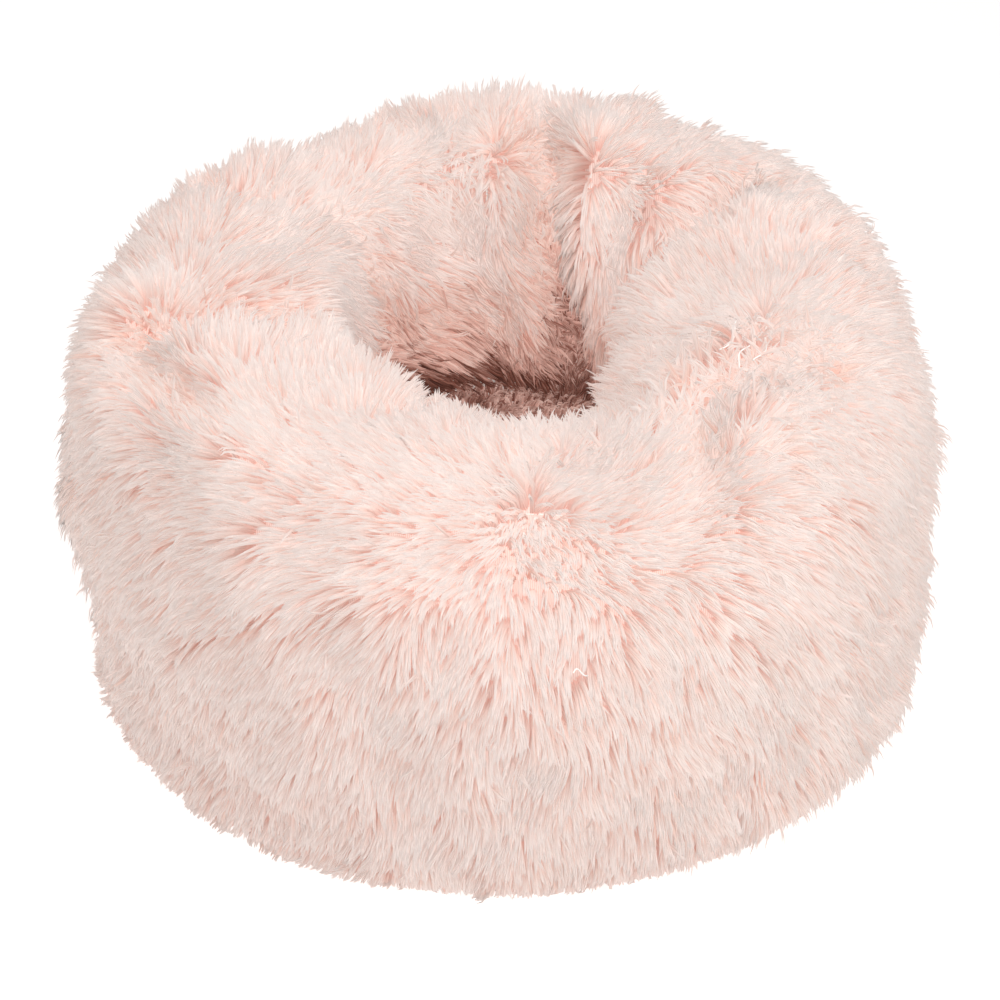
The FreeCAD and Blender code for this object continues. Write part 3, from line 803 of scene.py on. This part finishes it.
def knit_material():
    """The pile's knitted backing, in fine ribs."""
    material, tree, shader = new_material("knit_backing", 0.85, sheen=0.1)
    place = tree.nodes.new("ShaderNodeTexCoord")
    wave = tree.nodes.new("ShaderNodeTexWave")
    wave.inputs["Scale"].default_value = 260
    wave.inputs["Distortion"].default_value = 1.5
    tree.links.new(place.outputs["Object"], wave.inputs["Vector"])
    paint(tree, shader, wave.outputs["Fac"], [(0.0, (0.77, 0.60, 0.545)), (1.0, (0.88, 0.73, 0.68))])
    emboss(tree, shader, wave.outputs["Fac"], 0.4, 0.6 * MM)
    return material


def woven_material(name, low, high, scale, roughness, depth):
    """Plain woven cloth: two crossed sets of fine bands give its colour and its relief."""
    material, tree, shader = new_material(name, roughness)
    place = tree.nodes.new("ShaderNodeTexCoord")
    bands = []
    for direction in ("X", "Y"):
        wave = tree.nodes.new("ShaderNodeTexWave")
        wave.bands_direction = direction
        wave.inputs["Scale"].default_value = scale
        wave.inputs["Distortion"].default_value = 0.6
        tree.links.new(place.outputs["Object"], wave.inputs["Vector"])
        bands.append(wave)
    blend = tree.nodes.new("ShaderNodeMath")
    blend.operation = "MULTIPLY"
    tree.links.new(bands[0].outputs["Fac"], blend.inputs[0])
    tree.links.new(bands[1].outputs["Fac"], blend.inputs[1])
    paint(tree, shader, blend.outputs["Value"], [(0.0, low), (1.0, high)])
    emboss(tree, shader, blend.outputs["Value"], 0.5, depth)
    return material


def metal_material():
    """Nickel-plated zip metal with a faint brushed grain."""
    material, tree, shader = new_material("nickel", 0.32, (0.72, 0.71, 0.69), metallic=1.0)
    place = tree.nodes.new("ShaderNodeTexCoord")
    noise = tree.nodes.new("ShaderNodeTexNoise")
    noise.inputs["Scale"].default_value = 900
    tree.links.new(place.outputs["Object"], noise.inputs["Vector"])
    grain = [(0.3, (0.24, 0.24, 0.24)), (0.7, (0.42, 0.42, 0.42))]
    paint(tree, shader, noise.outputs["Fac"], grain, "Roughness")
    return material


# ---- the pieces

coat = Coat()
comb = comb_field(coat)
fur = fur_material()
knit = knit_material()


def crowding():
    """How thickly the fur grows at each place on the ring, against the usual."""
    places = coat.points[:, :-1].reshape(-1, 3)
    crowd = 1 + UNSETTLED_CROWD * (1 - np.linalg.norm(comb, axis=-1)[:, :-1])
    sparse = patches(coat, places, SPARSE).reshape(crowd.shape)
    crowd = crowd * (1 - sparse.clip(0, MOST_SPARSE))
    whorls = [(degrees, station, 0.8 * reach, 0.5) for degrees, station, reach, _ in WHORLS]
    crowd = crowd + patches(coat, places, whorls).reshape(crowd.shape)
    for degrees, station, reach in BARE:
        gap = np.linalg.norm(coat.backing - coat.under(math.radians(degrees), station), axis=-1)[:, :-1]
        crowd = crowd * (1 - np.exp(-((gap / reach) ** 2)))
    at_base_seam = np.clip(1 - coat.station / 0.5, 0, 1)[:-1]
    return (1 + BASE_SEAM_CROWD * at_base_seam)[None, :] * crowd


def painted_shade_of_well_and_folds(station, crease):
    """How deep in painted shade a hair grows, 0 to 1: from the rim down to the seat seam, and in the folds.
    """
    painted_shade = np.clip((station - PAINTED_WELL_SHADE_STATION) / PAINTED_WELL_SHADE_SPAN, 0, 1) ** PAINTED_WELL_SHADE_CURVE
    in_fold = np.where(station > CREST, PAINTED_FOLD_SHADE_INSIDE, PAINTED_FOLD_SHADE_OUTSIDE)
    return np.clip(painted_shade + crease * in_fold, 0, 1)


def ring_fur():
    """The outer and inner walls' fur, in sectors round the bed."""
    rng = np.random.default_rng(7)
    row, column = scatter(coat.backing, crowding(), LOCK_AREA, rng)
    roots = sample(coat.backing, row, column)
    normals = unit(sample(coat.normal, row, column))
    combs = sample(comb, row, column)
    unsettled = 1 - np.linalg.norm(combs, axis=1).clip(0, 1)
    depth = sample(coat.pile_depth(), row, column)
    crease = sample(coat.crease, row, column)
    station = column / (ACROSS_STEPS - 1) * (STATIONS - 1)
    angle = row / ROUND_STEPS * 2 * math.pi
    at_base_seam = np.clip(1 - station / 0.8, 0, 1)
    ragged = patches(coat, roots, MESS)
    lifts = LIFT + UNSETTLED_LIFT * unsettled + CREASE_LIFT * crease
    lengths = depth * LENGTH_SHARE + BASE_SEAM_LENGTH * at_base_seam
    lengths = lengths * (1 + 0.1 * ripple(roots, 0.06, 35)) * (1 + RAGGED_LENGTH * ragged.clip(0, 1))
    mess = UNSETTLED_MESS * unsettled + CREASE_MESS * crease + ragged
    hairs = grow(roots, normals, unit(combs), lengths, lifts, mess, painted_shade_of_well_and_folds(station, crease), rng)
    turn = np.repeat(angle / (2 * math.pi) % 1, HAIRS_IN_LOCK)
    outer = np.repeat(station < around(angle, CROWN_SEAM), HAIRS_IN_LOCK)
    deep = np.repeat(station > FOOT_STATION, HAIRS_IN_LOCK)
    for name, chosen, sectors in (
        ("outer_fur", outer, OUTER_SECTORS),
        ("inner_fur", ~outer & ~deep, INNER_SECTORS),
        ("foot_fur", deep, FOOT_SECTORS),
    ):
        sector = np.where(chosen, np.floor(turn * sectors), -1)
        hair_pieces(name, hairs, sector, sectors, fur)


# The well's floor: its grid, its shape and its fur
SEAT_STEPS = 96
SEAT_RADIUS = WELL_RADIUS + PILE
SEAT_CROWN = 7 * MM
SEAT_EDGE_DROP = 4 * MM
SEAT_LUMPS = 2 * MM
SEAT_LENGTH_SHARE = 1.15
SEAT_LIFT = 1.35
SEAT_MESS = 0.2


def turned_profile(radius):
    """Points round the well's centre at a profile's radii, all at height 0."""
    angle = np.arange(SEAT_STEPS) * 2 * math.pi / SEAT_STEPS
    points = np.zeros((SEAT_STEPS, len(radius), 3))
    points[..., 0] = WELL_CENTRE[0] + np.cos(angle)[:, None] * radius
    points[..., 1] = WELL_CENTRE[1] + np.sin(angle)[:, None] * radius
    return points


def seat_grid():
    """The seat's knitted backing: a soft disc, crowned in the middle."""
    reach = np.linspace(0.0, 1.0, 30)
    points = turned_profile(reach * SEAT_RADIUS)
    crown = SEAT_CROWN * (1 - reach**2) - SEAT_EDGE_DROP * reach**4
    points[..., 2] = seat_low.z + crown[None, :]
    lumps = SEAT_LUMPS * ripple(points.reshape(-1, 3), 0.08, 41).reshape(points.shape[:2])
    points[..., 2] += lumps * (1 - reach**3)[None, :]
    return points


def seat_fur():
    """The fur floor of the well, standing nearly upright, with painted shade that deepens towards its edge.
    """
    rng = np.random.default_rng(8)
    grid = seat_grid()
    row, column = scatter(grid, 1.0, LOCK_AREA, rng)
    roots = sample(grid, row, column)
    count = len(roots)
    normals = unit(np.array([0, 0, 1]) + 0.05 * rng.normal(size=(count, 3)))
    lay = np.stack([np.full(count, 0.3), np.full(count, -1.0), np.zeros(count)], axis=1)
    combs = unit(lay - normals * (lay * normals).sum(axis=1, keepdims=True))
    reach = column / (grid.shape[1] - 1)
    # painted shade: the whole seat is darkened, most towards its edge
    painted_shade = 0.60 + 0.28 * reach
    lengths = np.full(count, PILE * SEAT_LENGTH_SHARE)
    hairs = grow(roots, normals, combs, lengths, np.full(count, SEAT_LIFT), SEAT_MESS, painted_shade, rng)
    side = hairs["roots"][:, 0] > WELL_CENTRE[0]
    hair_pieces("seat_fur", hairs, side.astype(int), 2, fur)


def backing_pieces():
    """Knitted backings of the three fur panels. The two walls' backings share one line at the crown."""
    seam = 2 * round(CREST / (STATIONS - 1) * (ACROSS_STEPS - 1) / 2)
    coarse = slice(None, None, 3)
    outer = grid_mesh("outer_backing", coat.backing[coarse, : seam + 1 : 2])
    inner = grid_mesh("inner_backing", coat.backing[coarse, seam::2])
    seat = grid_mesh("seat_backing", seat_grid())
    for piece, node in ((outer, "outer_fur_wall"), (inner, "inner_fur_wall"), (seat, "seat_fur_panel")):
        finish_piece(piece, knit)
        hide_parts(node)
    return outer, inner, seat


# The dent in the cushions' undersides along the zip
ZIP_ROOM = 20 * MM
ZIP_ROOM_EDGE = 12 * MM
ZIP_ROOM_LIFT = 9 * MM
# How far the casing and the filling lie inside the backing, and each one's lowest height
CASING_DEPTH = 1.0 * MM
FILLING_DEPTH = 2.6 * MM
CASING_BOTTOM = 1.6 * MM
FILLING_BOTTOM = 3.2 * MM
CASING_WALL = 1.6 * MM
# The pad's rounded side: how far it is drawn in from bottom to top, and its edge
PAD_ROUNDING = 6 * MM * np.array([0.45, 0.1, 0.0, 0.0, 0.1, 0.45])
PAD_EDGE = 4 * MM
PAD_STEPS = 16


def floor_height(y, bottom):
    """The height of a cushion's underside, which is dented along the zip."""
    dent = np.clip((ZIP_ROOM + ZIP_ROOM_EDGE - np.abs(y)) / ZIP_ROOM_EDGE, 0, 1)
    return bottom + ZIP_ROOM_LIFT * dent * dent * (3 - 2 * dent)


def ring_cushion(name, depth, bottom):
    """The ring's casing or filling: a closed tube that lies a little inside the backing."""
    shell = (coat.backing - coat.normal * depth)[::3, 4::3]
    inner_edge, outer_edge = shell[:, -1:], shell[:, :1]
    down = np.linspace(1, 0, 6)[None, 1:, None]
    drop = inner_edge * [1, 1, 0] + down * inner_edge * [0, 0, 1]
    across = np.linspace(0, 1, 14)[None, 1:-1, None]
    base = (inner_edge + (outer_edge - inner_edge) * across) * [1, 1, 0]
    points = np.concatenate([shell, drop, base], axis=1)
    points[..., 2] = np.maximum(points[..., 2], floor_height(points[..., 1], bottom))
    return grid_mesh(name, points, closed_across=True)


def pad_cushion(name, depth, bottom):
    """The seat pad's casing or filling: a thick crowned disc with soft edges."""
    radius = PAD_RADIUS - depth
    seat_top = seat_grid()[:, :, 2].mean(axis=0)
    seat_reach = np.linspace(0, SEAT_RADIUS, len(seat_top))
    reach = np.linspace(0.01, 1, PAD_STEPS)
    over = np.interp(reach[::-1] * radius, seat_reach, seat_top) - 2 * MM - depth
    side_top = seat_top[-1] - 3 * MM - depth
    side = bottom + np.linspace(0.04, 0.96, len(PAD_ROUNDING)) * (side_top - bottom)
    flat = reach * (radius - PAD_EDGE)
    points = turned_profile(np.concatenate([flat, radius - PAD_ROUNDING, flat[::-1]]))
    points[..., 2] = np.concatenate([np.full(PAD_STEPS, bottom), side, over])
    points[..., 2] = np.maximum(points[..., 2], floor_height(points[..., 1], bottom))
    return grid_mesh(name, points, flip=True)


def tube_mesh(name, line, radius, closed=True, sides=6):
    """A thin round tube along a line of points."""
    if closed:
        way = unit(np.roll(line, -1, axis=0) - np.roll(line, 1, axis=0))
    else:
        way = unit(np.gradient(line, axis=0))
    side = unit(np.cross(way, np.array([0.13, 0.21, 1.0])))
    other = np.cross(way, side)
    turn = np.arange(sides) * 2 * math.pi / sides
    around_line = np.cos(turn)[None, :, None] * side[:, None] + np.sin(turn)[None, :, None] * other[:, None]
    points = line[:, None] + radius * around_line
    return grid_mesh(name, points, closed_round=closed, closed_across=True)


THREAD_RADIUS = 0.6 * MM
STITCH_SWING = 0.3 * MM
LOOSE_THREAD_RADIUS = 0.45 * MM


def seam_threads():
    """The sewn seams at the crown and round the seat, with the small waves of their stitches."""
    row = np.arange(ROUND_STEPS)
    column = around(coat.angle, CROWN_SEAM) / (STATIONS - 1) * (ACROSS_STEPS - 1)
    stitch = np.cos(row * math.pi)[:, None] * STITCH_SWING
    crown_line = sample(coat.backing, row, column) + stitch * sample(coat.across, row, column)
    seat_line = coat.backing[:, -1] + stitch
    crown = tube_mesh("crown_seam", crown_line, THREAD_RADIUS)
    seat = tube_mesh("seat_seam", seat_line, THREAD_RADIUS)
    return crown, seat


def loose_threads(material):
    """Short curly ends of thread that hang out at the bare spots."""
    rng = np.random.default_rng(19)
    for k, (degrees, station, span) in enumerate(LOOSE_THREADS):
        row, column = coat.cell(math.radians(degrees), station)
        across, normal = coat.across[row, column], coat.normal[row, column]
        t = np.linspace(0, 1, 26)[:, None]
        swing = rng.uniform(0, 2 * math.pi)
        curl = 2.6 * MM * np.sin(5.0 * t + swing) * across + 2.2 * MM * np.cos(4.2 * t + swing) * normal
        middle = coat.backing[row, column] + 0.92 * PILE * normal
        line = middle + coat.round_way[row, column] * (t - 0.5) * span + curl
        piece = tube_mesh(f"loose_thread_{k + 1}", line, LOOSE_THREAD_RADIUS, closed=False)
        finish_piece(piece, material)


# A grip dot's rings as (radius, height), its tip, and how far apart and from the edges the dots stand
DOT_RINGS = [(2.3 * MM, 0.05 * MM), (2.0 * MM, -0.15 * MM), (1.1 * MM, -0.28 * MM)]
DOT_TIP = -0.32 * MM
DOT_SIDES = 10
DOT_PITCH = 17 * MM
DOT_ZIP_GAP = 22 * MM
DOT_RIM_GAP = 12 * MM


def dot_places():
    """The dots' centres, in staggered rows on both sides of the zip."""
    row_pitch = DOT_PITCH * math.sqrt(0.75)
    rows = int(2 * BASE_RADIUS / row_pitch)
    spots = []
    for i in range(-rows // 2, rows // 2 + 1):
        for j in range(-20, 21):
            x, y = (j + 0.5 * (i % 2)) * DOT_PITCH, i * row_pitch
            if abs(y) > DOT_ZIP_GAP and math.hypot(x, y) < BASE_RADIUS - DOT_RIM_GAP:
                spots.append([x, y, 0])
    return np.array(spots)


def grip_dots(material):
    """Small low domes on the underside that keep the bed from sliding."""
    turn = np.arange(DOT_SIDES) * 2 * math.pi / DOT_SIDES
    dome = [[r * math.cos(a), r * math.sin(a), z] for r, z in DOT_RINGS for a in turn] + [[0, 0, DOT_TIP]]
    dome = np.array(dome)
    spots = dot_places()
    points = (dome[None] + spots[:, None]).reshape(-1, 3)
    last = (len(DOT_RINGS) - 1) * DOT_SIDES
    quads, tips = [], []
    for k in range(DOT_SIDES):
        n = (k + 1) % DOT_SIDES
        for low in range(0, last, DOT_SIDES):
            high = low + DOT_SIDES
            quads.append([low + n, low + k, high + k, high + n])
        tips.append([last + n, last + k, len(dome) - 1])
    base = (np.arange(len(spots)) * len(dome))[:, None, None]
    quads = (base + np.array(quads)[None]).reshape(-1, 4)
    tips = (base + np.array(tips)[None]).reshape(-1, 3)
    finish_piece(faces_mesh("grip_dots", points, quads, tips), material)


def dress(material, *nodes):
    """Gives CAD pieces their material."""
    for node in nodes:
        mesh = bpy.data.objects[node].data
        mesh.materials.clear()
        mesh.materials.append(material)


backings = backing_pieces()
ring_fur()
seat_fur()

liner_cloth = woven_material("liner_cloth", (0.80, 0.79, 0.76), (0.90, 0.89, 0.86), 420, 0.8, 0.0002)
fibre = new_material("fibre", 0.95, (0.92, 0.92, 0.91), sheen=0.3)[0]
thread = new_material("thread", 0.5, (0.93, 0.84, 0.80), sheen=0.2)[0]
white_thread = new_material("white_thread", 0.6, (0.95, 0.93, 0.91), sheen=0.2)[0]
base_cloth = woven_material("base_cloth", (0.56, 0.42, 0.385), (0.74, 0.60, 0.56), 300, 0.85, 0.0004)
tape_cloth = woven_material("tape_cloth", (0.60, 0.45, 0.41), (0.78, 0.63, 0.58), 480, 0.7, 0.0003)
label_cloth = woven_material("label_cloth", (0.84, 0.83, 0.80), (0.92, 0.91, 0.89), 600, 0.45, 0.0001)
teeth_plastic = new_material("teeth_plastic", 0.35, (0.74, 0.58, 0.53))[0]
grip_rubber = new_material("grip_rubber", 0.45, (0.86, 0.80, 0.77))[0]
nickel = metal_material()

for made, material, slot_name, node in (
    (ring_cushion("bolster_casing", CASING_DEPTH, CASING_BOTTOM), liner_cloth, "liner", "bolster_liner"),
    (ring_cushion("bolster_fibre", FILLING_DEPTH, FILLING_BOTTOM), fibre, "fibre", "bolster_fill"),
    (pad_cushion("pad_casing", 0.0, CASING_BOTTOM), liner_cloth, "liner", "seat_pad_liner"),
    (pad_cushion("pad_fibre", CASING_WALL, FILLING_BOTTOM), fibre, "fibre", "seat_pad_fill"),
):
    finish_piece(made, material)
    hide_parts(node)
    made.visible_shadow = False
for backing in backings:
    backing.visible_shadow = False
for made, node in zip(seam_threads(), ("crown_seam_thread", "seat_seam_thread")):
    finish_piece(made, thread)
    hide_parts(node)
loose_threads(white_thread)
grip_dots(grip_rubber)
dress(base_cloth, "base_cloth_front", "base_cloth_back")
dress(tape_cloth, "zip_tape_front", "zip_tape_back")
dress(teeth_plastic, "zip_teeth_front", "zip_teeth_back")
dress(nickel, "zip_top_stops", "zip_bottom_stop", "zip_slider", "zip_pull")
dress(label_cloth, "care_label")
dress(thread, "base_seam_thread")


# ---- floor, light, camera

FLOOR_HALF = 8.0
FLOOR_LEVEL = -0.4 * MM
BED_MIDDLE = (0, 0, 0.15)
AMBIENT_COLOUR = (1.0, 0.945, 0.920, 1)
AMBIENT_STRENGTH = 0.55
# Round soft lights: (name, place, diameter, power, colour)
LIGHTS = [
    ("key", (-0.5, -1.7, 2.2), 1.8, 21, (1.0, 1.0, 0.995)),
    ("fill", (1.8, -0.8, 1.5), 1.6, 23, (1.0, 1.0, 0.995)),
    ("top", (-0.1, -0.2, 2.5), 2.2, 12, (1.0, 1.0, 1.0)),
    ("back", (-0.6, 1.9, 1.7), 1.5, 15, (1.0, 1.0, 1.0)),
]
CAMERA_ELEVATION = 36.0
CAMERA_DISTANCE = 2.2
CAMERA_AIM = (-0.002, 0.0, 0.104)
LENS = 119.0
SENSOR = 36.0


def stage_floor():
    """A plain pale floor just under the grip dots."""
    size = FLOOR_HALF
    corners = np.array([[-size, -size], [size, -size], [size, size], [-size, size]])
    corners = np.column_stack([corners, np.full(len(corners), FLOOR_LEVEL)])
    floor = faces_mesh("floor", corners, np.array([[0, 1, 2, 3]]))
    floor.data.materials.append(new_material("pale_floor", 0.9, (0.93, 0.925, 0.92))[0])


def soft_light(name, location, size, power, colour):
    """A round area light that faces the bed."""
    light = bpy.data.lights.new(name, "AREA")
    light.shape = "DISK"
    light.size = size
    light.energy = power
    light.color = colour
    obj = bpy.data.objects.new(name, light)
    bpy.context.scene.collection.objects.link(obj)
    obj.location = location
    obj.rotation_euler = direction_euler(np.array(BED_MIDDLE) - np.array(location))


def direction_euler(way):
    """The turn that points a light or a camera along a way."""
    return Vector(way).to_track_quat("-Z", "Y").to_euler()


def studio():
    """Plain soft light: warm all round, neutral from the lights."""
    scene = bpy.context.scene
    world = bpy.data.worlds.new("studio")
    world.use_nodes = True
    background = world.node_tree.nodes["Background"]
    background.inputs["Color"].default_value = AMBIENT_COLOUR
    background.inputs["Strength"].default_value = AMBIENT_STRENGTH
    scene.world = world
    for light in LIGHTS:
        soft_light(*light)
    scene.view_settings.view_transform = "Standard"
    scene.view_settings.look = "None"


def camera():
    """Looks down on the low front of the rim."""
    scene = bpy.context.scene
    lens = bpy.data.cameras.new("camera")
    obj = bpy.data.objects.new("camera", lens)
    scene.collection.objects.link(obj)
    elevation = math.radians(CAMERA_ELEVATION)
    back = np.array([0, -math.cos(elevation), math.sin(elevation)])
    obj.location = np.array(CAMERA_AIM) + back * CAMERA_DISTANCE
    obj.rotation_euler = direction_euler(-back)
    lens.sensor_width = SENSOR
    lens.lens = LENS
    lens.clip_end = 50
    scene.camera = obj


stage_floor()
studio()
camera()
